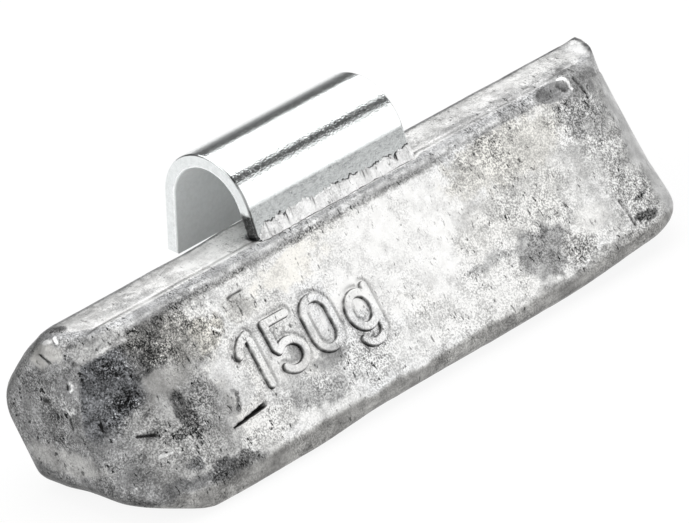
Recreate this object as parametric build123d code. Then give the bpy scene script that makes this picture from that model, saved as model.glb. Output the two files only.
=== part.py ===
from build123d import *
import os
from math import cos, radians, sin, tan

# Clip-on wheel balance weight: a lead bar cast round the tang of a bent spring steel clip.
# Millimetres. X runs along the bar, Y back towards the wheel, Z up. The flat base lies on Z = 0,
# and Y = 0 is where the clip's front comes out of the bar's top.

# Lead bar, as its section looks from the end
bar_length = 67.4
bar_height = 15.2
top_front = 1.0  # from the clip's front forward to the top's front corner
top_back = 4.3  # from the clip's front back to the top's back corner
face_lean = 33.0  # degrees that the front face leans back from upright
knee_height = 7.8  # the back stands out furthest here, under the rim's lip
knee_reach = 5.7  # from the top's back corner to the knee
base_inset = 3.8  # from the knee forward to the base's back corner

# Rounded edges of the bar
end_round = 6.2  # between the front face and each end
knee_round = 4.2
end_back_round = 2.0  # between each end and the back
crease_round = 1.9  # round the top, except for its back edge
base_round = 1.5

# Spring steel clip
clip_width = 19.0
clip_offset = -1.15  # from the bar's middle along X
strip = 1.25
hook_radius = 4.0  # inside the bend
front_lean = 15.5  # degrees that the front leg leans back as it rises
back_splay = 5.5  # degrees that the free leg opens outwards
hook_lift = 1.05  # from the bar's top up to the centre of the bend
free_leg = 5.7  # straight part of the free leg, below the bend
tang_depth = 8.5  # from the bar's top down to the end of the tang
lock_hole = 3.5  # the lead runs through these holes in the tang
lock_hole_depth = 5.0  # from the bar's top
lock_hole_spacing = 9.0
strip_edge_round = 0.18


def bar_section():
    """The bar's outline in Y and Z, before its edges are rounded."""
    face_run = bar_height * tan(radians(face_lean))
    knee = top_back + knee_reach
    return make_face(
        Polyline(
            (-top_front, bar_height),
            (top_back, bar_height),
            (knee, knee_height),
            (knee - base_inset, 0),
            (-top_front - face_run, 0),
            close=True,
        )
    )


def end_outline():
    """The bar's plan on the base: its front corners rounded, its back open past the section."""
    half = bar_length / 2
    front = -top_front - bar_height * tan(radians(face_lean))
    back = front + 2 * bar_length
    plan = make_face(Polyline((-half, front), (half, front), (half, back), (-half, back), close=True))
    return fillet(plan.vertices().sort_by(Axis.Y)[:2], end_round)


def bar():
    """The cast bar before the clip is set in it. Its ends are rounded along the lean of the front face."""
    lean = Vector(0, sin(radians(face_lean)), cos(radians(face_lean)))
    body = extrude(Plane.YZ * bar_section(), bar_length / 2, both=True)
    body = body & extrude(end_outline(), 2 * bar_height, dir=lean)
    knee_edge = body.edges().filter_by(Axis.X).sort_by(Axis.Y)[-1]
    body = fillet(knee_edge, knee_round)
    ends = body.faces().filter_by(Axis.X)
    backs = body.faces().filter_by(lambda face: face.normal_at().Y > abs(face.normal_at().X))
    back_edges = [edge for back in backs for edge in back.edges() if edge in ends.edges()]
    body = fillet(back_edges, end_back_round)
    # The rounding of the base and of the top turns the corners at the back, so it is no larger than they are.
    turn_limit = 0.95 * end_back_round
    base = body.faces().sort_by(Axis.Z)[0]
    body = fillet(base.edges(), min(base_round, turn_limit))
    top = body.faces().sort_by(Axis.Z)[-1]
    rim = top.edges().filter_by(Axis.X).sort_by(Axis.Y)[-1]
    return fillet([edge for edge in top.edges() if edge != rim], min(crease_round, turn_limit))


def clip_outline():
    """The strip's edge in Y and Z: tang and front leg, the bend, and the splayed free leg."""
    up = Vector(sin(radians(front_lean)), cos(radians(front_lean)))
    down = Vector(sin(radians(back_splay)), -cos(radians(back_splay)))
    crown = Vector(0, 1)
    front_side = Vector(-up.Y, up.X)
    back_side = Vector(-down.Y, down.X)
    outer_radius = hook_radius + strip
    rise = hook_lift + outer_radius * front_side.Y
    centre = Vector(rise * tan(radians(front_lean)) - outer_radius * front_side.X, bar_height + hook_lift)
    front_leg = (rise + tang_depth) / up.Y
    edges = []
    for radius in (outer_radius, hook_radius):
        front = centre + front_side * radius
        back = centre + back_side * radius
        edges += [
            Line(front - up * front_leg, front),
            ThreePointArc(front, centre + crown * radius, back),
            Line(back, back + down * free_leg),
        ]
    edges += [Line(edges[0] @ 0, edges[3] @ 0), Line(edges[2] @ 1, edges[5] @ 1)]
    return make_face(edges)


def lock_holes():
    """Pins of lead through the tang, square to it."""
    slope = Plane(
        origin=(0, -lock_hole_depth * tan(radians(front_lean)), bar_height - lock_hole_depth),
        x_dir=(1, 0, 0),
        z_dir=(0, cos(radians(front_lean)), -sin(radians(front_lean))),
    )
    pins = Sketch() + [place * Circle(lock_hole / 2) for place in GridLocations(lock_hole_spacing, 0, 2, 1)]
    return extrude(slope * pins, 2 * strip, both=True)


def spring_clip():
    """The bent strip with softened edges, and the lock holes in its tang."""
    blank = extrude(Plane.YZ * clip_outline(), clip_width / 2, both=True)
    side_edges = blank.faces().filter_by(Axis.X).edges()
    return Pos(X=clip_offset) * (fillet(side_edges, strip_edge_round) - lock_holes())


os.makedirs("parts", exist_ok=True)
clip = spring_clip()
lead = bar() - clip
for name, solid in (("lead_body", lead), ("spring_clip", clip)):
    export_step(solid, f"parts/{name}.step")
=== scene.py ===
from functools import partial
from math import cos, pi, radians, sin, tan

import bmesh
import bpy
import numpy as np
from mathutils import Matrix, Vector, noise


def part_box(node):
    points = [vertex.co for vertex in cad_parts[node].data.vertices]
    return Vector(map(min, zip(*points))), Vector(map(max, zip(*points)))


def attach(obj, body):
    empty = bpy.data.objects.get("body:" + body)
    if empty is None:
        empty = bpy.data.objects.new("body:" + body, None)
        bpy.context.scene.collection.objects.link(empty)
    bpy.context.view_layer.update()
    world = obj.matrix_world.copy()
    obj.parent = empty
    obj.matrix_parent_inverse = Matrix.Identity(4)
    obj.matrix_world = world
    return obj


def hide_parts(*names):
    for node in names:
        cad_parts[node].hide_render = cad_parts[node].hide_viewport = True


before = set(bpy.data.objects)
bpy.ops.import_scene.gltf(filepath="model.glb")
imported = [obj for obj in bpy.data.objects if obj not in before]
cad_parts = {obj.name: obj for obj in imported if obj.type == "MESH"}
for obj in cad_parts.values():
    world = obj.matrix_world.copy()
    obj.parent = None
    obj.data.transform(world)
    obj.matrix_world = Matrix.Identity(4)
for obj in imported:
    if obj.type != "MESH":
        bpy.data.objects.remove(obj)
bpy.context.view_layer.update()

# A lead bar cast round a bent spring steel clip. Sizes are millimetres unless a name says otherwise.
# The bar's front face has its own pair of coordinates: u along X, and w up the slope from the base.
MM = 0.001
BAR_HEIGHT = 15.2
TOP_FRONT = 1.0
FACE_LEAN = radians(33.0)
CREASE_W = 17.15  # where the front face turns into the rounded crease
CLIP_LEAN = radians(15.5)
CLIP_LEFT = -10.65
CLIP_RIGHT = 8.35
CLIP_SPLAY = radians(5.5)
BEND_Y, BEND_Z = 5.74, 16.25  # middle of the clip's bend
BEND_INSIDE = 4.0

face_foot = np.array([0.0, -TOP_FRONT - BAR_HEIGHT * tan(FACE_LEAN), 0.0])
face_up = np.array([0.0, sin(FACE_LEAN), cos(FACE_LEAN)])
face_normal = np.array([0.0, -cos(FACE_LEAN), sin(FACE_LEAN)])


# Helpers for numbers

def smooth(low, high, value):
    t = np.clip((value - low) / (high - low), 0.0, 1.0)
    return t * t * (3.0 - 2.0 * t)


def ripple(points, size, octaves=3, seed=0.0):
    """Seeded noise from about -1 to 1, whose largest waves are size across."""
    shift = Vector((seed, 1.7 * seed, -2.3 * seed))
    return np.array([noise.fractal(Vector(p) / size + shift, 1.0, 2.0, octaves) for p in points])


def to_segment(u, w, start, end):
    """Distance from a segment, and how far along it from 0 to 1."""
    du, dw = end[0] - start[0], end[1] - start[1]
    along = np.clip(((u - start[0]) * du + (w - start[1]) * dw) / (du * du + dw * dw), 0.0, 1.0)
    return np.hypot(u - start[0] - along * du, w - start[1] - along * dw), along


def tapered_gap(u, w, start, end, half_start, half_end):
    """Distance from a segment, and the half width there of a line that tapers along it."""
    gap, along = to_segment(u, w, start, end)
    return gap, half_start + (half_end - half_start) * along


def bell(offset, width):
    """1 at no offset, with a soft fall to 0 on both sides."""
    return np.exp(-((offset / width) ** 2))


def streak(gap, half):
    """1 along a line's middle and 0 outside it, with a short fall near its half width."""
    return np.exp(-((gap / half) ** 4))


# Marks of casting and handling on the front face

LEDGE_Y = 0.15  # where a shallow line with painted shade runs along the top's front edge
SKIN_ROUGH = 0.05  # height of the cast skin's waves
SKIN_SINK = 0.04  # how far the middle of those waves lies below the solid's face
DENT = (25.05, 17.45)  # middle of the dent near the right end, as u and w
DENT_HALF = (2.1, 0.95)  # half sizes of its hollow
DENT_SHADE_HALF = (2.1, 0.9)  # half sizes of the painted shade in it
DENT_TILT = 0.1
DENT_DEPTH = 0.45
BURR_SHARE = 0.12  # height of the lead thrown up beside a cut, as a share of its depth
BURR_PLACE, BURR_WIDTH = 1.7, 0.5  # where it stands and how wide it is, in half widths of the cut

CUTS = [  # start, end, half width at the start and at the end, depth
    ((-22.65, 5.85), (-18.8, 6.3), 0.08, 0.20, 0.75),
    ((-16.9, 15.55), (-15.2, 15.63), 0.10, 0.05, 0.26),
    ((-31.2, 9.2), (-29.8, 8.55), 0.10, 0.14, 0.3),
    ((-30.8, 6.73), (-29.45, 6.67), 0.06, 0.08, 0.15),
    ((25.6, 6.4), (25.7, 3.5), 0.06, 0.09, 0.3),
    ((-30.9, 11.8), (-30.2, 12.45), 0.14, 0.10, 0.25),
    ((-19.3, 11.1), (-19.0, 10.45), 0.10, 0.10, 0.18),
    ((28.25, 16.1), (27.9, 15.2), 0.05, 0.06, 0.3),
    ((25.95, 18.0), (26.5, 17.1), 0.10, 0.13, 0.22),
    ((27.75, 17.75), (27.95, 17.05), 0.11, 0.09, 0.25),
    ((28.0, 16.8), (28.15, 16.2), 0.10, 0.07, 0.25),
]
BRIGHT = [  # fresh scratches, and the painted highlight by the dent (the three near u 26 to 27): start, end, half width
    ((-30.4, 6.75), (-29.3, 6.62), 0.10),
    ((25.42, 6.3), (25.48, 3.6), 0.07),
    ((26.2, 18.3), (26.85, 18.2), 0.08),
    ((26.85, 18.2), (27.0, 17.7), 0.13),
    ((27.0, 17.7), (27.07, 16.95), 0.09),
    ((-20.0, 14.2), (-19.2, 13.5), 0.10),
]
END_MARKS = [  # on the left end, as Y and Z: start, end, half width, tone
    ((-0.3, 13.0), (0.1, 13.05), 0.22, 0.05),
    ((0.3, 11.5), (0.05, 11.3), 0.07, 0.95),
    ((0.05, 11.3), (0.0, 10.95), 0.07, 0.95),
    ((0.0, 10.95), (0.2, 10.75), 0.08, 1.0),
    ((0.42, 11.2), (0.4, 10.95), 0.12, 0.10),
    ((2.6, 9.4), (2.95, 9.35), 0.25, 0.25),
    ((0.95, 9.1), (-0.3, 8.95), 0.07, 0.95),
    ((0.6, 9.35), (0.2, 8.75), 0.07, 0.95),
    ((-0.25, 9.3), (0.25, 8.7), 0.07, 0.95),
    ((0.15, 8.35), (0.05, 7.55), 0.11, 0.12),
    ((3.05, 13.75), (2.1, 13.0), 0.10, 0.15),
    ((2.35, 14.98), (1.75, 14.62), 0.08, 1.4),
]
PITS = [  # middle, radius, depth; a nub has a depth below zero
    ((-29.8, 10.8), 0.45, 0.16),
    ((-23.4, 13.65), 0.3, 0.12),
    ((-2.45, 10.55), 0.33, -0.16),
    ((24.85, 8.3), 0.35, -0.15),
    ((11.05, 2.9), 0.25, -0.15),
    ((17.85, 17.45), 0.12, 0.1),
]


def cast_skin(points):
    return ripple(points, 5.0, 4, 1.0)


def face_relief(u, w, rough):
    """Height of the front face's marks above its plane."""
    height = SKIN_ROUGH * rough
    for start, end, half_start, half_end, depth in CUTS:
        gap, half = tapered_gap(u, w, start, end, half_start, half_end)
        height = height - depth * streak(gap, half)
        height = height + BURR_SHARE * depth * bell(gap - BURR_PLACE * half, BURR_WIDTH * half)
    for middle, radius, depth in PITS:
        gap = np.hypot(u - middle[0], w - middle[1])
        height = height - depth * bell(gap, radius)
    along = u - DENT[0]
    dent = (along / DENT_HALF[0]) ** 2 + ((w - DENT[1] + DENT_TILT * along) / DENT_HALF[1]) ** 2
    return height - DENT_DEPTH * np.clip(1.0 - dent, 0.0, 1.0) ** 0.7


# The mark's strokes, each a run of points along the middle of a raised line

def arc(middle, radii, start, end, steps=24):
    turns = np.radians(np.linspace(start, end, steps))
    return [(middle[0] + radii[0] * cos(t), middle[1] + radii[1] * sin(t)) for t in turns]


STROKES = [
    [(-18.85, 10.85), (-18.55, 11.4), (-18.05, 11.85), (-17.3, 12.15), (-17.2, 11.6), (-17.2, 7.5)],
    [(-12.55, 12.2), (-15.18, 12.2), (-15.18, 9.95), *arc((-13.85, 8.82), (1.42, 1.26), 140, -145)],
    [*arc((-9.6, 10.87), (1.37, 1.37), 0, 180), *arc((-9.6, 9.03), (1.37, 1.37), 180, 360), (-8.23, 10.87)],
    arc((-5.2, 9.25), (1.32, 1.52), 0, 360, 40),
    [(-3.88, 10.95), (-3.88, 7.4), *arc((-5.15, 7.35), (1.27, 1.07), 0, -155)],
]
STROKE_FOOT = 0.48  # half width where a stroke meets the face
STROKE_TOP = 0.31
STROKE_HEIGHT = 0.42
MARK_SINK = 0.07  # how far the strokes' feet lie below the face
MARK_GRID = 0.05
MARK_MARGIN = 0.05  # how much of the ground is kept round a stroke's foot
# The part of the face round the figures
MARK_LEFT, MARK_RIGHT, MARK_LOW, MARK_HIGH = -19.6, -2.6, 5.4, 13.0
WALL_U, WALL_W = 0.85, 0.55  # weights of a wall's slope to the right and up, to tell far walls from near
SHADOW_GAP, SHADOW_WIDTH = 0.68, 0.13


def stroke_gap(u, w):
    gap = np.full(np.shape(u), 99.0)
    for run in STROKES:
        for start, end in zip(run, run[1:]):
            gap = np.minimum(gap, to_segment(u, w, start, end)[0])
    return gap


def stroke_shadow(u, w):
    """The grey line on the ground along the far walls of the strokes, which face right and up."""
    near = np.flatnonzero((u > MARK_LEFT) & (u < MARK_RIGHT) & (w > MARK_LOW) & (w < MARK_HIGH))
    u_near, w_near = u[near], w[near]
    gap = stroke_gap(u_near, w_near)
    rise_u = (stroke_gap(u_near + MARK_GRID, w_near) - gap) / MARK_GRID
    rise_w = (stroke_gap(u_near, w_near + MARK_GRID) - gap) / MARK_GRID
    far_wall = np.clip(WALL_U * rise_u + WALL_W * rise_w, 0.0, 1.0)
    shadow = np.zeros(len(u))
    shadow[near] = far_wall * bell(gap - SHADOW_GAP, SHADOW_WIDTH)
    return shadow


# The lead's colour, by where it lies: tone is the brightness on the screen, grain the share of speckle

# Mostly the lead's own mottling; the broad bright patch over the middle of the face is partly a painted
# reflection of the light.
PATCHES = [  # middle, half sizes, tone, grain, warmth, strength
    ((-30.5, 10.0), (9.5, 14.0), 0.665, 0.6, 0.1, 1.0),
    ((-26.6, 15.4), (4.2, 2.0), 0.41, 1.0, 0.4, 0.9),
    ((-29.4, 13.4), (2.0, 2.2), 0.35, 1.0, 0.0, 0.9),
    ((-29.7, 12.7), (0.35, 1.2), 0.22, 1.0, 0.0, 0.9),
    ((-26.5, 12.0), (3.2, 1.4), 0.65, 0.3, 0.3, 0.9),
    ((-24.3, 9.0), (1.8, 2.2), 0.58, 1.0, 0.0, 0.8),
    ((-26.5, 8.6), (1.1, 1.9), 0.30, 0.9, 0.0, 0.95),
    ((-28.1, 7.5), (1.1, 0.6), 0.38, 0.9, 0.0, 0.9),
    ((-26.4, 6.7), (0.4, 0.9), 0.38, 0.9, 0.0, 0.9),
    ((-25.1, 3.0), (3.2, 0.95), 0.36, 0.7, -0.2, 0.95),
    ((-22.5, 3.1), (1.6, 0.75), 0.45, 0.8, 0.0, 0.85),
    ((-30.4, 3.4), (2.6, 0.6), 0.47, 0.35, -0.2, 0.9),
    ((-27.9, 5.0), (1.0, 0.5), 0.48, 0.5, -0.3, 0.8),
    ((-20.3, 9.3), (1.8, 2.6), 0.93, 0.4, 0.0, 0.8),
    ((-21.3, 7.4), (0.35, 1.1), 0.50, 0.8, 0.0, 0.8),
    ((-23.0, 14.6), (2.2, 2.2), 0.57, 1.0, 0.6, 0.8),
    ((-20.6, 13.8), (1.6, 1.3), 0.72, 0.9, 1.0, 0.85),
    ((-16.6, 14.4), (1.9, 1.2), 0.72, 0.8, 0.4, 0.75),
    ((-15.8, 6.4), (2.4, 1.2), 0.82, 0.9, 0.0, 0.7),
    ((-13.3, 9.0), (0.9, 0.9), 0.66, 0.4, 0.0, 0.8),
    ((-10.0, 7.0), (2.3, 0.9), 0.64, 0.4, 0.0, 0.9),
    ((-12.2, 5.2), (4.2, 1.3), 0.71, 1.0, 0.0, 0.85),
    ((-5.4, 5.4), (4.2, 2.0), 0.84, 1.0, 0.0, 0.75),
    ((-19.0, 4.4), (3.0, 1.2), 0.86, 1.0, 0.2, 0.7),
    ((-8.5, 15.2), (5.0, 1.5), 0.96, 0.25, 0.7, 0.9),
    ((0.8, 12.4), (9.0, 5.2), 1.0, 0.34, 0.1, 1.0),
    ((4.0, 5.0), (9.0, 1.9), 0.95, 0.6, 0.1, 0.7),
    ((9.2, 7.2), (3.2, 0.55), 0.76, 0.6, 0.0, 0.7),
    ((15.0, 10.2), (7.5, 2.6), 0.84, 0.7, 0.3, 0.7),
    ((16.9, 14.8), (7.3, 2.3), 0.82, 0.9, 0.6, 0.9),
    ((15.6, 5.9), (2.8, 2.1), 0.60, 0.7, 0.0, 0.9),
    ((19.4, 5.0), (2.3, 1.3), 0.72, 1.1, 0.2, 0.85),
    ((23.6, 8.5), (3.6, 5.2), 0.83, 0.8, 0.1, 0.7),
    ((22.0, 6.3), (2.2, 1.2), 0.93, 0.3, 0.2, 0.9),
    ((20.0, 2.7), (7.0, 0.7), 0.66, 0.6, 0.2, 0.9),
    ((29.0, 9.0), (4.2, 14.0), 0.77, 0.8, 0.1, 0.9),
    ((31.6, 9.0), (1.7, 16.0), 0.84, 0.15, 0.0, 0.9),
    ((27.0, 15.0), (2.8, 2.6), 0.64, 0.9, 0.0, 0.85),
    ((27.0, 3.6), (1.4, 0.5), 0.26, 0.6, 0.0, 0.9),
    ((27.7, 5.6), (0.9, 0.25), 0.40, 0.6, 0.0, 0.8),
]


def patch_mask(u, w, middle, half, ragged):
    """1 inside an oval and 0 outside it, with an edge broken by the ragged noise."""
    reach = np.sqrt(((u - middle[0]) / half[0]) ** 2 + ((w - middle[1]) / half[1]) ** 2)
    return smooth(-0.22, 0.22, 1.0 - reach + ragged)


class LeadPlace:
    """Where each point of the lead lies: coordinates, shares of each side, and noise that breaks edges."""

    def __init__(self, points, normals):
        self.points = points
        self.u, self.back, self.up = points.T
        self.w = (points - face_foot) @ face_up
        self.leftward, self.backward, self.upward = -normals[:, 0], normals[:, 1], normals[:, 2]
        self.front = smooth(0.35, 0.7, normals @ face_normal)
        self.top = smooth(0.975, 0.995, self.upward)
        self.left = smooth(0.45, 0.75, self.leftward)
        self.fore = 1.0 - smooth(4.0, 5.0, self.back)
        right, upper = smooth(30.3, 31.3, self.u), smooth(12.6, 14.0, self.up)
        self.right_top = right * smooth(0.5, 1.0, self.back) * upper
        self.wander = 0.8 * ripple(points, 2.4, 3, 3.1)
        self.drift = 0.6 * ripple(points, 2.4, 3, 8.4)
        self.ragged = 0.30 * ripple(points, 0.9, 3, 12.5)
        self.breaks = 0.6 + 0.4 * ripple(points, 4.0, 3, 6.6)


class Layers:
    """Tone, grain and warmth of each point, laid on one over the other, and the painted shade on them."""

    def __init__(self, tone, grain, warmth):
        self.tone, self.grain, self.warmth = tone, grain, warmth
        self.painted_shade = np.zeros(len(tone))

    def lay(self, share, tone, grain, warmth):
        self.tone = self.tone + (tone - self.tone) * share
        self.grain = self.grain + (grain - self.grain) * share
        self.warmth = self.warmth + (warmth - self.warmth) * share

    def paint_shade(self, share):
        self.painted_shade = np.maximum(self.painted_shade, share)


# The layers, zone by zone. Places are u and w on the face, X and Y on the top, and Y and Z on the left end.

def lay_front(look, at):
    for middle, half, tone, grain, warmth, strength in PATCHES:
        mask = patch_mask(at.u + at.wander, at.w + at.drift, middle, half, at.ragged)
        look.lay(at.front * strength * mask, tone, grain, warmth)


def lay_crease(look, at):
    """The rounded edge between the front face and the top, with painted shade on its upper half and a
    broken painted highlight along it.
    """
    crease = smooth(CREASE_W - 0.05, CREASE_W + 0.2, at.w) * (1.0 - at.top) * (1.0 - at.left) * at.fore
    tone = 0.76 - 0.10 * smooth(-17.0, -21.0, at.u) - 0.07 * bell(at.u + 22.5, 1.6)
    look.lay(crease, tone, 0.5, -0.1)
    # painted shade that damps the reflection on the crease's upper half
    look.lay(crease * smooth(0.80, 0.87, at.upward), 0.64, 0.5, -0.2)
    # painted highlight along the lower part of the crease, broken up
    ridge_highlight = bell(at.w - CREASE_W - 0.5 - 0.12 * at.drift, 0.17) * (1.0 - at.left) * at.fore
    ridge_highlight *= 1.0 - 0.85 * smooth(17.0, 22.0, at.u)
    look.lay(0.85 * ridge_highlight * smooth(-0.1, 0.25, at.ragged + 0.1), 1.0, 0.3, 0.0)


def lay_top(look, at):
    """The narrow top, with painted light beside the clip against the clip's shade, and the edge of its
    right end with painted shade and a painted highlight.
    """
    u, back, top = at.u, at.back, at.top
    look.lay(top, 0.91, 0.35, 0.1)
    # painted light beside the clip, against the shade the clip casts there
    look.lay(top * smooth(-19.0, -17.0, u) * smooth(-9.0, -11.0, u), 1.0, 0.3, 0.1)
    look.lay(top * smooth(10.0, 16.0, u), 0.94, 0.35, 0.1)
    stain = patch_mask(u + at.wander, back, (-24.5, 1.0), (2.4, 0.7), at.ragged)
    look.lay(0.7 * top * stain, 0.80, 0.4, 0.0)
    # painted shade on the right end's top corner
    look.lay(at.right_top, 0.70, 0.4, 0.0)
    # a painted highlight in a band across the corner's round
    look.lay(at.right_top * smooth(0.72, 0.82, at.upward), 0.98, 0.3, 0.0)
    front_strip = 1.0 - smooth(0.9, 1.5, back + 0.5 * at.drift)
    look.lay(top * front_strip * smooth(9.0, 15.0, u), 0.79, 0.4, 0.0)
    look.lay(top * patch_mask(u, back, (-31.6, 2.7), (0.8, 0.9), at.ragged), 0.5, 0.8, 0.0)


def lay_seam(look, at):
    """The dark broken line where the face meets the crease, and painted shade in the dent near its right
    end and beside it.
    """
    u, w = at.u, at.w
    half = 0.22 + 0.05 * smooth(-12.0, -16.0, u) - 0.08 * smooth(8.0, 13.0, u)
    middle = CREASE_W + 0.15 * at.drift + 0.2 * smooth(8.0, 12.0, u) * (1.0 - smooth(19.0, 22.0, u))
    seam = bell(w - middle, half) * (1.0 - at.left) * at.fore
    strength = 0.95 - 0.45 * smooth(4.0, 12.0, u)
    look.lay(np.clip(seam * at.breaks, 0.0, 1.0) * strength, 0.40, 1.1, 0.2)
    # painted shade over the crease beside the dent
    shade_amount = patch_mask(u + 0.5 * at.wander, w, (27.6, 17.5), (2.9, 1.5), at.ragged)
    look.lay(0.9 * at.fore * shade_amount, 0.58, 0.3, 0.0)
    # painted shade in the dent
    dent = patch_mask(u, w + DENT_TILT * (u - DENT[0]), DENT, DENT_SHADE_HALF, 0.4 * at.ragged)
    look.lay(0.9 * at.fore * dent, 0.56, 0.2, -0.1)


def lay_base(look, at):
    """The base's rounded front edge, with marks drawn out along X."""
    low = (1.0 - smooth(2.3, 2.9, at.w + 0.4 * at.drift)) * (1.0 - at.left)
    drawn = ripple(at.points * np.array([0.12, 1.0, 1.0]), 0.5, 3, 11.0)
    look.lay(0.9 * low, 0.60 + 0.09 * drawn, 0.35, 0.4)


def lay_left_end(look, at):
    back, up, left, leftward, ragged = at.back, at.up, at.left, at.leftward, at.ragged
    look.lay(left, 0.535, 0.6, -0.1)
    look.lay(left * patch_mask(back, up, (3.5, 13.6), (2.5, 1.2), ragged), 0.72, 0.2, 0.4)
    look.lay(left * patch_mask(back, up, (1.5, 3.6), (5.0, 1.5), ragged), 0.69, 0.3, 0.2)
    look.lay(left * (1.0 - smooth(1.0, 1.5, up + 0.3 * at.drift)), 0.38, 0.5, 0.0)
    look.lay(smooth(0.15, 0.45, at.backward) * smooth(0.3, 0.6, leftward), 0.40, 0.6, 0.0)
    glint = patch_mask(back, up, (2.85, 14.75), (0.55, 0.16), 1.5 * ragged)
    look.lay(smooth(0.4, 0.6, leftward) * glint, 1.1, 0.5, 0.0)
    for start, end, half, tone in END_MARKS:
        gap = to_segment(back, up, start, end)[0]
        look.lay(smooth(0.3, 0.5, leftward) * streak(gap, half), tone, 0.1, 0.0)


def lay_left_corner(look, at):
    """A painted dark reflection on the rounding beside the left end, which starts at a sharp line, and the
    rim above it with a painted highlight.
    """
    turned = smooth(0.1, 0.3, at.leftward)
    # painted dark reflection on the rounding
    dark_reflection = patch_mask(at.back, at.up, (-2.2, 11.2), (2.3, 4.4), 0.5 * at.ragged)
    past_line = smooth(-0.1, 0.15, -0.25 - 0.16 * (13.2 - at.up) - at.back)
    rim = smooth(16.3, 16.75, at.w)
    look.lay(0.9 * turned * dark_reflection * past_line * (1.0 - rim), 0.38, 1.0, -0.8)
    corner = smooth(0.0, 0.12, at.leftward) * (1.0 - smooth(0.68, 0.8, at.leftward))
    look.lay(0.9 * corner * rim * (1.0 - smooth(17.9, 18.5, at.w)), 0.75, 0.45, 0.1)
    # painted highlight along the rim
    rim_highlight = corner * bell(at.w - 16.8 - 0.25 * at.drift, 0.14) * smooth(-0.2, 0.2, at.ragged)
    look.lay(rim_highlight, 0.95, 0.6, 0.1)


def lay_marks(look, at):
    """Painted shade in the cuts and along the top's edges, fresh bright scratches, and a painted highlight
    by the dent.
    """
    # painted shade in the cuts
    for start, end, half_start, half_end, depth in CUTS:
        gap, half = tapered_gap(at.u, at.w, start, end, half_start, half_end)
        look.paint_shade(at.front * smooth(0.1, 0.35, depth) * streak(gap, half))
    # fresh scratches, and the painted highlight by the dent
    for start, end, half in BRIGHT:
        gap = to_segment(at.u, at.w, start, end)[0]
        look.lay(at.front * streak(gap, half), 1.3, 0.2, 0.0)
    # painted shade along the shallow line at the top's front edge
    ledge = bell(at.back - LEDGE_Y - 0.1 * at.drift, 0.12) * smooth(0.8, 0.95, at.upward)
    look.paint_shade(0.6 * ledge * smooth(0.2, 0.9, at.breaks) * (1.0 - 0.75 * smooth(8.0, 13.0, at.u)))
    # painted shade lines along the right end's top edge and along its tip's back edge
    end_line = bell(at.upward - 0.80 + 0.04 * at.drift, 0.06) * at.right_top
    tip_line = smooth(27.5, 32.0, at.u) * bell(at.back - 4.15, 0.35) * smooth(13.0, 14.5, at.up)
    look.paint_shade(0.75 * np.maximum(end_line, tip_line) * smooth(-0.4, 0.1, at.ragged))


ZONES = (lay_front, lay_crease, lay_top, lay_seam, lay_base, lay_left_end, lay_left_corner, lay_marks)


def lead_look(points, normals):
    """Tone, grain, warmth and painted shade for each point of the lead."""
    at = LeadPlace(points, normals)
    tone = 0.68 + 0.10 * ripple(points, 6.0, 4, 5.0)
    grain = 0.6 + 0.3 * ripple(points, 5.0, 3, 9.0)
    warmth = 0.1 + 0.4 * ripple(points, 8.0, 2, 2.0)
    look = Layers(tone + (0.92 - tone) * at.front, grain, warmth)
    for lay_zone in ZONES:
        lay_zone(look, at)
    return look.tone, look.grain, look.warmth, look.painted_shade


def give_look(mesh, look):
    for name, values in zip(("tone", "grain", "warmth", "painted_shade"), look):
        mesh.attributes.new(name, "FLOAT", "POINT").data.foreach_set("value", values.astype(np.float32))


# Meshes

def new_piece(name, mesh, material):
    piece = bpy.data.objects.new(name, mesh)
    bpy.context.collection.objects.link(piece)
    mesh.materials.clear()
    mesh.materials.append(material)
    mesh.shade_smooth()
    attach(piece, "root")
    return piece


def mesh_points(mesh):
    points = np.empty(len(mesh.vertices) * 3)
    normals = np.empty(len(mesh.vertices) * 3, np.float32)
    mesh.vertices.foreach_get("co", points)
    mesh.vertex_normals.foreach_get("vector", normals)
    return points.reshape(-1, 3) / MM, normals.reshape(-1, 3).astype(float)


def grid_quads(rows, cols):
    """The corner numbers of each square in a grid of points."""
    index = np.arange(rows * cols).reshape(rows, cols)
    return np.stack([index[:-1, :-1], index[:-1, 1:], index[1:, 1:], index[1:, :-1]], -1)


VOXEL = 0.365
SHOW_SIDE = Vector((-0.61, -0.65, 0.45))  # the side that gets the finer mesh
SHOW_LEAST = 0.08  # how far a face has to be turned to that side


def fine_lead_mesh():
    """The lead solid as an even mesh, finer on the side with the marks."""
    source = bpy.data.objects.new("remesh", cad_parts["lead_body"].data.copy())
    bpy.context.collection.objects.link(source)
    remesh = source.modifiers.new("even", "REMESH")
    remesh.mode = "VOXEL"
    remesh.voxel_size = VOXEL * MM
    ready = source.evaluated_get(bpy.context.evaluated_depsgraph_get())
    grid = bmesh.new()
    grid.from_mesh(ready.to_mesh())
    bpy.data.objects.remove(source)
    bmesh.ops.smooth_vert(grid, verts=grid.verts, factor=0.5,
                          use_axis_x=True, use_axis_y=True, use_axis_z=True)
    grid.normal_update()
    shown = [face for face in grid.faces if face.normal.dot(SHOW_SIDE) > SHOW_LEAST]
    edges = list({edge for face in shown for edge in face.edges})
    bmesh.ops.subdivide_edges(grid, edges=edges, cuts=1, use_grid_fill=True)
    mesh = bpy.data.meshes.new("lead_casting")
    grid.to_mesh(mesh)
    grid.free()
    return mesh


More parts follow.
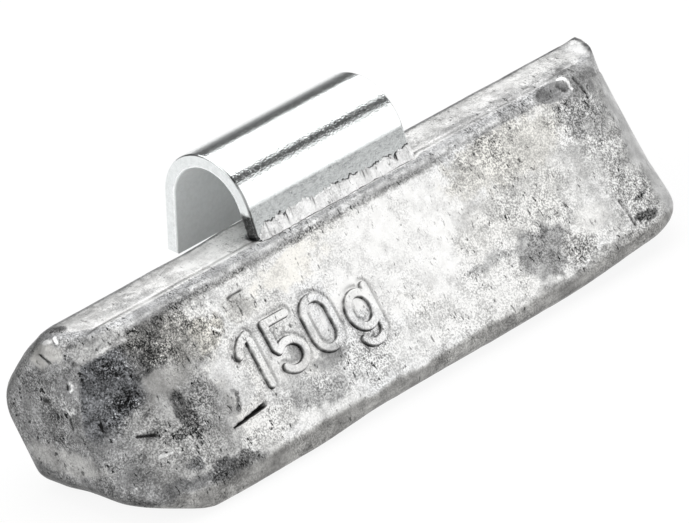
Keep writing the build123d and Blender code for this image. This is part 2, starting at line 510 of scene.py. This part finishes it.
END_FILLET = 1.9
END_X = 33.7
END_ROUND = 6.2  # radius of the ends' front corners, seen from above
BACK_Y = 4.3  # where the top meets the back slope
BACK_SLOPE = (0.79, 0.61)  # the way that the back slope faces, as Y and Z
KEEN = 0.8  # how far the right end's top edge is drawn out towards a sharp corner
KEEN_REACH = 1.2 * END_FILLET
TOP_PULL = (0.0, 0.9)  # shares of the pull in Y and Z along the top's edge
BACK_PULL = (0.6, 0.5)  # the same along the back slope's edge
LEFT_RISE, RIGHT_RISE = 1.1, 1.05  # how far the base rises at the ends
BACK_LESS = 0.35  # how much less it rises at the back of the left end
CORNER_SAG = 0.35  # of the left end's top corner
TOP_SAG = 0.2  # of the top's back edge, left of the clip
BASE_KEEN = 0.45  # how far the base's front edge is drawn out on the left
BASE_TURN = radians(123.0)  # from the base round to the front face


def keen_end(points):
    """How far the right end's top edge moves to be keener than the left's."""
    x, y, z = points.T
    plan_middle = END_ROUND - TOP_FRONT - (BAR_HEIGHT - z) * tan(FACE_LEAN)
    ahead = np.clip(plan_middle - y, 0.0, 0.95 * END_ROUND)
    across = x - (END_X - END_ROUND + np.sqrt(END_ROUND ** 2 - ahead ** 2) - END_FILLET)
    top_lift = z - (BAR_HEIGHT - END_FILLET)
    back_lift = BACK_SLOPE[0] * (y - BACK_Y) + BACK_SLOPE[1] * (z - BAR_HEIGHT) + END_FILLET
    move = np.zeros_like(points)
    for lift, (share_y, share_z) in ((top_lift, TOP_PULL), (back_lift, BACK_PULL)):
        radius = np.hypot(across, lift)
        inside = (x > 0.0) & (across > 0.0) & (lift > 0.0) & (radius < KEEN_REACH)
        pull = KEEN * (radius / np.maximum(np.maximum(across, lift), 0.1) - 1.0) * inside
        pull *= smooth(-0.3, 1.0, y) * smooth(8.0, 15.0, z)
        move += pull[:, None] * np.column_stack([across, share_y * lift, share_z * lift])
    return move


def worn_shape(points, normals):
    """Wear and casting faults: the base rises at both ends, and its edge and the corners are uneven."""
    x, y, z = points.T
    shaped = points + keen_end(points)
    left_rise = LEFT_RISE - BACK_LESS * smooth(-1.0, 2.5, y)
    rise = left_rise * smooth(-26.5, -33.0, x) + RIGHT_RISE * smooth(15.0, 32.0, x)
    shaped[:, 2] += rise * (1.0 - smooth(0.5, 6.5, z))
    shaped[:, 2] -= CORNER_SAG * smooth(-30.5, -33.0, x) * smooth(1.5, 4.0, y) * smooth(12.0, 14.5, z)
    shaped[:, 2] -= TOP_SAG * smooth(-10.0, -14.0, x) * smooth(2.0, 4.0, y) * smooth(13.0, 15.0, z)
    turn = np.arccos(np.clip(-normals[:, 2], -1.0, 1.0)) / BASE_TURN
    sharp = np.sin(pi * np.clip(turn, 0.0, 1.0)) * (1.0 - smooth(0.3, 0.75, turn)) * (y < -6.0)
    sharp *= smooth(-30.5, -27.0, x) * (1.0 - smooth(-16.0, -6.0, x))
    return shaped + BASE_KEEN * sharp[:, None] * normals


STROKE_SHADOW_DARK = 0.45  # how dark the painted shadow along the strokes is
CREASE_DEPTH, CREASE_WIDTH = 0.08, 0.2  # the shallow line at the crease
LEDGE_DEPTH, LEDGE_WIDTH = 0.05, 0.14  # the shallow line along the top's front edge


def lead_casting(material):
    mesh = fine_lead_mesh()
    points, normals = mesh_points(mesh)
    u = points[:, 0]
    w = (points - face_foot) @ face_up
    facing = normals @ face_normal
    front = smooth(0.55, 0.85, facing)
    top = smooth(0.8, 0.95, normals[:, 2])
    rough = cast_skin(points)
    tone, grain, warmth, painted_shade = lead_look(points, normals)
    look = (tone, grain, warmth, np.maximum(painted_shade, STROKE_SHADOW_DARK * front * stroke_shadow(u, w)))
    height = SKIN_ROUGH * rough * (1.0 - front) + front * face_relief(u, w, rough)
    drift = 0.12 * ripple(points, 2.2, 4, 8.4)
    height -= CREASE_DEPTH * bell(w - CREASE_W - drift, CREASE_WIDTH) * smooth(0.2, 0.5, facing)
    height -= LEDGE_DEPTH * bell(points[:, 1] - LEDGE_Y, LEDGE_WIDTH) * top
    moved = worn_shape(points + normals * (height - SKIN_SINK)[:, None], normals)
    low, high = (np.array(corner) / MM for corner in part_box("lead_body"))
    moved = np.clip(moved, low, high)
    mesh.vertices.foreach_set("co", (moved * MM).ravel())
    give_look(mesh, look)
    mesh.update()
    piece = new_piece("lead_casting", mesh, material)
    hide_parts("lead_body")


def mark_look(points, gap):
    """The face's look, with painted highlights on the crowns, and painted shade on the feet and on walls
    that face left or down.
    """
    tone, grain, warmth, painted_shade = lead_look(points, np.tile(face_normal, (len(points), 1)))
    rise_w, rise_u = np.gradient(gap, MARK_GRID)
    shaded = np.clip(-WALL_U * rise_u - WALL_W * rise_w, 0.0, 1.0).ravel() ** 0.7
    wall = bell(gap - 0.42, 0.09).ravel()
    foot = bell(gap - 0.40, 0.05).ravel()
    # painted highlight on the crowns
    crown = 1.0 - smooth(0.22, 0.36, gap).ravel()
    shade_amount = np.clip(0.9 + 0.6 * ripple(points, 0.7, 3, 14.0), 0.2, 1.1)
    # painted shade on the walls that face left or down and at the feet, broken up unevenly
    painted_shade = np.maximum(painted_shade, np.clip(shade_amount * np.maximum(0.85 * wall * shaded, 0.72 * foot), 0.0, 1.0))
    return tone + (0.95 - tone) * 0.6 * crown, grain * 0.7, warmth, painted_shade


def mass_mark(material):
    """The raised figures: a fine grid over the face that is kept only where a stroke stands."""
    us = np.arange(MARK_LEFT, MARK_RIGHT, MARK_GRID)
    ws = np.arange(MARK_LOW, MARK_HIGH, MARK_GRID)
    u, w = np.meshgrid(us, ws)
    gap = stroke_gap(u, w)
    lift = STROKE_HEIGHT * (1.0 - smooth(STROKE_TOP, STROKE_FOOT, gap)) - MARK_SINK
    flat = face_foot + u[..., None] * np.array([1.0, 0.0, 0.0]) + w[..., None] * face_up
    points = flat.reshape(-1, 3)
    height = SKIN_ROUGH * cast_skin(points) - SKIN_SINK + lift.ravel()
    keep = gap < STROKE_FOOT + MARK_MARGIN
    whole = keep[:-1, :-1] & keep[:-1, 1:] & keep[1:, 1:] & keep[1:, :-1]
    quads = grid_quads(*keep.shape)[whole]
    used = np.unique(quads)
    renumber = np.zeros(len(points), int)
    renumber[used] = np.arange(len(used))
    placed = (points + height[:, None] * face_normal)[used] * MM
    mesh = bpy.data.meshes.new("mass_mark")
    mesh.from_pydata(placed.tolist(), [], renumber[quads].tolist())
    give_look(mesh, tuple(values[used] for values in mark_look(points, gap)))
    new_piece("mass_mark", mesh, material)


FLASH_GAPS = np.array([-9.6, -7.2, -6.6, -3.9, -0.8, 2.2, 2.6, 6.3])  # X of the notches in the edge
FLASH_DEPTHS = np.array([0.2, 0.45, 0.15, 0.25, 0.12, 0.3, 0.1, 0.5])
FLASH_STEP = 0.05
FLASH_HEIGHT = 1.10
FLASH_LIP = 0.16  # usual thickness of the edge
FLASH_SINK = 0.12  # how far the foot lies in the bar
# Points from the flash's front foot over its edge to its back: share of the height, distance from the strip
FLASH_RISE = np.array([0.0, 0.12, 0.35, 0.65, 0.86, 0.93, 1.06, 0.9, 0.5, 0.0])
FLASH_STAND = np.array([0.46, 0.42, 0.36, 0.27, 0.19, 0.12, 0.04, 0.0, 0.0, 0.0])
RIM_POINT = 6  # the highest of those points


def root_flash(material):
    """The ragged lip of lead that ran up the clip's front when the bar was cast."""
    x = np.arange(CLIP_LEFT + 0.2, CLIP_RIGHT - 0.05, FLASH_STEP)
    line = np.column_stack([x, 0 * x, 0 * x])
    broad = (FLASH_HEIGHT + 0.25 * ripple(line, 2.2, 2, 4.0)) * smooth(-0.3, 0.8, x - x[0])
    jags = 0.18 * ripple(line, 0.45, 3, 7.0)
    for gap, depth in zip(FLASH_GAPS, FLASH_DEPTHS):
        jags -= depth * bell(x - gap, 0.09)
    lip = FLASH_LIP + 0.05 * ripple(line, 0.8, 2, 1.0)
    up = broad[:, None] * FLASH_RISE + jags[:, None] * FLASH_RISE ** 4
    out = FLASH_STAND * (lip[:, None] / FLASH_LIP) + 0.02
    along = np.broadcast_to(x[:, None], up.shape)
    places = np.stack([along, up * tan(CLIP_LEAN) - out, BAR_HEIGHT - FLASH_SINK + up], -1)
    points = places.reshape(-1, 3)
    points = points + 0.03 * ripple(points, 0.5, 2, 3.0)[:, None] * np.array([0.3, -1.0, 0.4])
    quads = grid_quads(*up.shape)[..., [0, 3, 2, 1]].reshape(-1, 4)  # turned to face outwards
    mesh = bpy.data.meshes.new("root_flash")
    mesh.from_pydata((points * MM).tolist(), [], quads.tolist())
    plain = np.ones(len(points))
    above = points[:, 2] - BAR_HEIGHT
    slant = points[:, 0] - 0.25 * above
    splits = bell(slant[:, None] - FLASH_GAPS, 0.06) * 2.2 * FLASH_DEPTHS
    split = np.clip(splits.max(axis=1), 0.0, 1.0) * smooth(0.2, 0.45, above)
    rim = np.broadcast_to(np.arange(len(FLASH_RISE)) == RIM_POINT, up.shape).ravel()
    broken = smooth(0.0, 0.25, ripple(points * np.array([1.0, 0.0, 0.0]), 1.3, 3, 9.0))
    # The dark marks are painted shade in the notches and a painted shadow along broken stretches of the
    # rim.
    give_look(mesh, (0.96 * plain, 0.3 * plain, 0.0 * plain, np.maximum(split, rim * broken)))
    new_piece("root_flash", mesh, material)


# Materials

def link_math(tree, operation, *inputs):
    """A math node with its inputs set or linked; returns its output."""
    node = tree.nodes.new("ShaderNodeMath")
    node.operation = operation
    for socket, value in zip(node.inputs, inputs):
        if hasattr(value, "is_linked"):
            tree.links.new(value, socket)
        else:
            socket.default_value = value
    return node.outputs[0]


def noise_at(tree, coordinates, scale, detail, roughness=0.6):
    node = tree.nodes.new("ShaderNodeTexNoise")
    node.inputs["Scale"].default_value = scale
    node.inputs["Detail"].default_value = detail
    node.inputs["Roughness"].default_value = roughness
    tree.links.new(coordinates, node.inputs["Vector"])
    return node.outputs["Fac"]


def attribute(tree, name):
    node = tree.nodes.new("ShaderNodeAttribute")
    node.attribute_name = name
    return node.outputs["Fac"]


def new_material(name):
    material = bpy.data.materials.new(name)
    material.use_nodes = True
    tree = material.node_tree
    return material, tree, tree.nodes["Principled BSDF"]


def spread(tree, value, low, high, into_low, into_high):
    """Stretches a range of a value smoothly over another range."""
    node = tree.nodes.new("ShaderNodeMapRange")
    node.interpolation_type = "SMOOTHSTEP"
    names = ("From Min", "From Max", "To Min", "To Max")
    for name, number in zip(names, (low, high, into_low, into_high)):
        node.inputs[name].default_value = number
    tree.links.new(value, node.inputs["Value"])
    return node.outputs[0]


def roughen(tree, shader, height, strength, distance):
    bump = tree.nodes.new("ShaderNodeBump")
    bump.inputs["Strength"].default_value = strength
    bump.inputs["Distance"].default_value = distance * MM
    tree.links.new(height, bump.inputs["Height"])
    tree.links.new(bump.outputs[0], shader.inputs["Normal"])


FINE_SCALE = 6200.0  # of the finest noise on both metals
SCREEN_POWER = 2.2  # from a tone on the screen to light
LEAD_SHINE = 0.84  # how much light the brightest lead throws back
LEAD_METAL = 0.85
LEAD_DARKEST = 0.08
PAINTED_SHADE_SHARE = 0.88  # how much of the tone full painted shade takes
WARM_RED, WARM_BLUE = 0.03, 0.07  # how much full warmth adds to the red, and takes from the blue
LEAD_BLUE = 0.995


def lead_material():
    """Cast lead: each point's tone, broken by specks, clots and clouds as far as its grain says."""
    material, tree, shader = new_material("cast_lead")
    math = partial(link_math, tree)
    place = tree.nodes.new("ShaderNodeTexCoord").outputs["Object"]
    stretch = tree.nodes.new("ShaderNodeMapping")
    stretch.inputs["Scale"].default_value = (1.0, 0.4, 0.4)
    tree.links.new(place, stretch.inputs["Vector"])
    fine = noise_at(tree, place, FINE_SCALE, 1.0)
    clots = noise_at(tree, place, 1500.0, 4.0, 0.65)
    clouds = noise_at(tree, place, 560.0, 5.0)
    swells = noise_at(tree, place, 240.0, 3.0, 0.5)
    flecks = noise_at(tree, stretch.outputs[0], 3400.0, 2.0)
    specks = noise_at(tree, place, 4600.0, 2.0)
    grain = math("MULTIPLY", attribute(tree, "grain"), spread(tree, swells, 0.35, 0.65, 0.5, 1.3))
    salt = spread(tree, fine, 0.36, 0.64, -0.20, 0.17)
    clot = spread(tree, clots, 0.36, 0.64, -0.14, 0.11)
    cloud = spread(tree, clouds, 0.32, 0.68, -0.09, 0.07)
    fleck = math("MULTIPLY", spread(tree, flecks, 0.64, 0.70, 0.0, -0.5), math("ADD", grain, 0.25))
    dark = spread(tree, attribute(tree, "tone"), 0.4, 0.85, 1.0, 0.25)
    sparkle = math("MULTIPLY", spread(tree, specks, 0.60, 0.68, 0.0, 0.42), math("MULTIPLY", grain, dark))
    marks = math("ADD", math("MULTIPLY", math("ADD", salt, clot), grain), sparkle)
    tone = math("ADD", attribute(tree, "tone"), math("ADD", cloud, math("ADD", fleck, marks)))
    # painted shade darkens the tone
    unshaded = math("SUBTRACT", 1.0, math("MULTIPLY", attribute(tree, "painted_shade"), PAINTED_SHADE_SHARE))
    tone = math("MULTIPLY", math("MAXIMUM", math("MINIMUM", tone, 1.0), LEAD_DARKEST), unshaded)
    light = math("MULTIPLY", math("POWER", tone, SCREEN_POWER), LEAD_SHINE)
    warmth = attribute(tree, "warmth")
    red = math("MULTIPLY", light, math("ADD", 1.0, math("MULTIPLY", warmth, WARM_RED)))
    blue = math("MULTIPLY", light, math("SUBTRACT", LEAD_BLUE, math("MULTIPLY", warmth, WARM_BLUE)))
    colour = tree.nodes.new("ShaderNodeCombineColor")
    for socket, value in zip(colour.inputs, (red, light, blue)):
        tree.links.new(value, socket)
    tree.links.new(colour.outputs[0], shader.inputs["Base Color"])
    shader.inputs["Metallic"].default_value = LEAD_METAL
    tree.links.new(spread(tree, clots, 0.3, 0.7, 0.34, 0.52), shader.inputs["Roughness"])
    roughen(tree, shader, math("ADD", math("MULTIPLY", fine, 0.5), clots), 0.5, 0.06)
    return material


ZINC_COLOUR = (0.80, 0.825, 0.825)
ZINC_MOTTLE = 0.04
INSIDE_PAINTED_LIGHT = 0.13  # the bend's inside is duller than the rest, and lighter as painted light against its shade
INSIDE_ROUGHER = 0.2
FOOT_DARK = 0.93
LINE_DARK = 0.65


def zinc_material():
    """Bright plating, duller inside the bend where its colour is also lighter as painted light against the
    shade there, dark at the front leg's left foot and along its left edge.
    """
    material, tree, shader = new_material("bright_zinc")
    math = partial(link_math, tree)
    place = tree.nodes.new("ShaderNodeTexCoord").outputs["Object"]
    fine = noise_at(tree, place, FINE_SCALE, 1.0)
    mottle = noise_at(tree, place, 2300.0, 3.0)
    split = tree.nodes.new("ShaderNodeSeparateXYZ")
    tree.links.new(place, split.inputs[0])
    x, y, z = split.outputs
    behind = math("SUBTRACT", y, BEND_Y * MM)
    above = math("SUBTRACT", z, BEND_Z * MM)
    # Distances from the bend's middle towards the front leg, towards the free leg, and all round above it
    to_front = math("SUBTRACT", math("MULTIPLY", above, sin(CLIP_LEAN)),
                    math("MULTIPLY", behind, cos(CLIP_LEAN)))
    to_back = math("ADD", math("MULTIPLY", behind, cos(CLIP_SPLAY)),
                   math("MULTIPLY", above, sin(CLIP_SPLAY)))
    round_bend = math("SQRT", math("ADD", math("MULTIPLY", behind, behind), math("MULTIPLY", above, above)))
    upper = math("MULTIPLY", round_bend, math("GREATER_THAN", above, 0.4 * MM))
    reach = math("MAXIMUM", math("MAXIMUM", to_front, to_back), upper)
    inside = spread(tree, reach, (BEND_INSIDE + 0.1) * MM, (BEND_INSIDE + 0.3) * MM, 1.0, 0.0)
    height = math("ADD", z, math("MULTIPLY", mottle, 0.5 * MM))
    foot = math("MULTIPLY", spread(tree, height, 17.2 * MM, 17.6 * MM, 1.0, 0.0),
                spread(tree, behind, -3.2 * MM, -2.6 * MM, 1.0, 0.0))
    edge = spread(tree, x, (CLIP_LEFT + 0.05) * MM, (CLIP_LEFT + 0.3) * MM, 1.0, 0.0)
    # darker at the front leg's left foot
    darker_foot = math("MULTIPLY", math("MULTIPLY", foot, edge), spread(tree, fine, 0.3, 0.5, 0.75, 1.0))
    outer = spread(tree, reach, (BEND_INSIDE + 1.08) * MM, (BEND_INSIDE + 1.18) * MM, 0.0, 1.0)
    beside = spread(tree, x, (CLIP_LEFT + 0.14) * MM, (CLIP_LEFT + 0.26) * MM, 1.0, 0.0)
    fading = spread(tree, behind, -3.6 * MM, -0.6 * MM, LINE_DARK, 0.0)
    line = math("MULTIPLY", math("MULTIPLY", outer, beside), fading)
    shade = math("SUBTRACT", 1.0, math("MAXIMUM", math("MULTIPLY", darker_foot, FOOT_DARK), line))
    colour = tree.nodes.new("ShaderNodeCombineColor")
    for socket, level in zip(colour.inputs, ZINC_COLOUR):
        tone = spread(tree, mottle, 0.3, 0.7, level - ZINC_MOTTLE, level + ZINC_MOTTLE)
        # painted light: the bend's inside is made lighter against its shade
        tone = math("ADD", tone, math("MULTIPLY", inside, INSIDE_PAINTED_LIGHT))
        tree.links.new(math("MULTIPLY", tone, shade), socket)
    tree.links.new(colour.outputs[0], shader.inputs["Base Color"])
    tree.links.new(math("SUBTRACT", 1.0, inside), shader.inputs["Metallic"])
    rough = math("ADD", spread(tree, mottle, 0.3, 0.7, 0.08, 0.16),
                 math("MULTIPLY", inside, INSIDE_ROUGHER))
    tree.links.new(rough, shader.inputs["Roughness"])
    dots = math("MULTIPLY", math("ADD", fine, math("MULTIPLY", mottle, 0.4)),
                spread(tree, z, 18.4 * MM, 19.6 * MM, 0.18, 1.4))
    roughen(tree, shader, dots, 0.45, 0.024)
    return material


# Stage

FLOOR_HALF_M = 0.35
FLOOR_LEVEL_M = -0.0001
FLOOR_GLOW = 0.88  # how much of the floor's look is plain white, which leaves a faint shadow


def seen_ray(tree):
    """1 for rays that should meet a white surround: the camera's, and those off metal or through glass."""
    math = partial(link_math, tree)
    path = tree.nodes.new("ShaderNodeLightPath")
    direct = math("MAXIMUM", path.outputs["Is Camera Ray"], path.outputs["Is Glossy Ray"])
    return math("MAXIMUM", direct, path.outputs["Is Transmission Ray"])


def white_floor():
    mesh = bpy.data.meshes.new("floor")
    corners = [(-FLOOR_HALF_M, -FLOOR_HALF_M), (FLOOR_HALF_M, -FLOOR_HALF_M),
               (FLOOR_HALF_M, FLOOR_HALF_M), (-FLOOR_HALF_M, FLOOR_HALF_M)]
    mesh.from_pydata([(x, y, FLOOR_LEVEL_M) for x, y in corners], [], [(0, 1, 2, 3)])
    floor = bpy.data.objects.new("floor", mesh)
    bpy.context.collection.objects.link(floor)
    material, tree, shader = new_material("white_floor")
    shader.inputs["Base Color"].default_value = (0.9, 0.9, 0.9, 1.0)
    shader.inputs["Roughness"].default_value = 0.9
    glow = tree.nodes.new("ShaderNodeEmission")
    share = tree.nodes.new("ShaderNodeMixShader")
    tree.links.new(link_math(tree, "MULTIPLY", seen_ray(tree), FLOOR_GLOW), share.inputs[0])
    tree.links.new(shader.outputs[0], share.inputs[1])
    tree.links.new(glow.outputs[0], share.inputs[2])
    tree.links.new(share.outputs[0], tree.nodes["Material Output"].inputs["Surface"])
    mesh.materials.append(material)


SKY = [  # turn from the front horizon over the top to the back, degrees; brightness there
    (0, 0.33), (3, 0.36), (6, 1.45), (50, 1.45), (55, 0.10), (69, 0.10), (76, 2.2), (137, 2.2), (143, 0.15),
    (167, 0.15), (173, 0.45), (180, 0.45),
]
SIDES = [  # how far to the left, below zero, or to the right; share of the sky's brightness there
    (-1.0, 3.0), (-0.8, 2.5), (-0.45, 1.0), (0.2, 2.0), (0.8, 2.0), (0.97, 0.9),
]
SKY_FULL, SIDES_FULL = 2.5, 3  # the levels that the ramps show as 1
STUDIO_STRENGTH = 3.75


def grey_ramp(tree, value, stops):
    """Grey levels along a value from 0 to 1."""
    ramp = tree.nodes.new("ShaderNodeValToRGB")
    bands = ramp.color_ramp.elements
    for number, (position, level) in enumerate(stops):
        band = bands[number] if number < 2 else bands.new(position)
        band.position = position
        band.color = (level, level, level, 1.0)
    tree.links.new(value, ramp.inputs[0])
    return ramp.outputs[0]


def studio_world():
    """A plain studio: soft boxes in front and overhead, dark between and behind, brightest on the left."""
    world = bpy.data.worlds.new("studio")
    bpy.context.scene.world = world
    world.use_nodes = True
    tree = world.node_tree
    math = partial(link_math, tree)
    split = tree.nodes.new("ShaderNodeSeparateXYZ")
    tree.links.new(tree.nodes.new("ShaderNodeTexCoord").outputs["Generated"], split.inputs[0])
    x, y, z = split.outputs
    turn = math("ARCTAN2", math("MAXIMUM", z, 0.0), math("MULTIPLY", y, -1.0))
    sky_stops = [(angle / 180, level / SKY_FULL) for angle, level in SKY]
    bands = grey_ramp(tree, math("DIVIDE", turn, pi), sky_stops)
    side_stops = [(0.5 + side / 2, share / SIDES_FULL) for side, share in SIDES]
    sides = grey_ramp(tree, math("MULTIPLY_ADD", x, 0.5, 0.5), side_stops)
    sides.node.color_ramp.interpolation = "EASE"
    path = tree.nodes.new("ShaderNodeLightPath")
    studio = tree.nodes["Background"]
    tree.links.new(bands, studio.inputs["Color"])
    tree.links.new(math("MULTIPLY", sides, STUDIO_STRENGTH), studio.inputs["Strength"])
    white = tree.nodes.new("ShaderNodeBackground")
    white.inputs["Color"].default_value = (1.0, 1.0, 1.0, 1.0)
    choose = tree.nodes.new("ShaderNodeMixShader")
    tree.links.new(path.outputs["Is Camera Ray"], choose.inputs[0])
    tree.links.new(studio.outputs[0], choose.inputs[1])
    tree.links.new(white.outputs[0], choose.inputs[2])
    tree.links.new(choose.outputs[0], tree.nodes["World Output"].inputs["Surface"])


IMAGE_WIDTH = 689
VIEW_TURN = radians(43.0)
VIEW_DROP = radians(26.5)
VIEW_ROLL = radians(-6.6)
VIEW_DISTANCE = 593.0
PIXELS_PER_MM = 11.766
AIM = np.array([-1.75, 0.0, 15.2])
AIM_OFFSET = (1.18, 5.29)  # from the aim to the middle of the frame, right and down


def photo_camera():
    forward = np.array([sin(VIEW_TURN) * cos(VIEW_DROP), cos(VIEW_TURN) * cos(VIEW_DROP), -sin(VIEW_DROP)])
    flat_right = np.cross(forward, (0.0, 0.0, 1.0))
    flat_right /= np.linalg.norm(flat_right)
    flat_down = np.cross(forward, flat_right)
    right = cos(VIEW_ROLL) * flat_right - sin(VIEW_ROLL) * flat_down
    down = sin(VIEW_ROLL) * flat_right + cos(VIEW_ROLL) * flat_down
    place = AIM + right * AIM_OFFSET[0] + down * AIM_OFFSET[1] - forward * VIEW_DISTANCE
    camera = bpy.data.cameras.new("photo_camera")
    camera.sensor_width = 36.0
    camera.lens = camera.sensor_width * PIXELS_PER_MM * VIEW_DISTANCE / IMAGE_WIDTH
    camera.clip_start = 0.01
    stand = bpy.data.objects.new("photo_camera", camera)
    turned = Matrix(np.column_stack([right, -down, -forward]).tolist()).to_4x4()
    stand.matrix_world = Matrix.Translation(Vector(place * MM)) @ turned
    bpy.context.collection.objects.link(stand)
    bpy.context.scene.camera = stand


lead = lead_material()
lead_casting(lead)
mass_mark(lead)
root_flash(lead)
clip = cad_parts["spring_clip"]
clip.data.materials[0] = zinc_material()
white_floor()
studio_world()
photo_camera()
bpy.context.scene.view_settings.view_transform = "Standard"
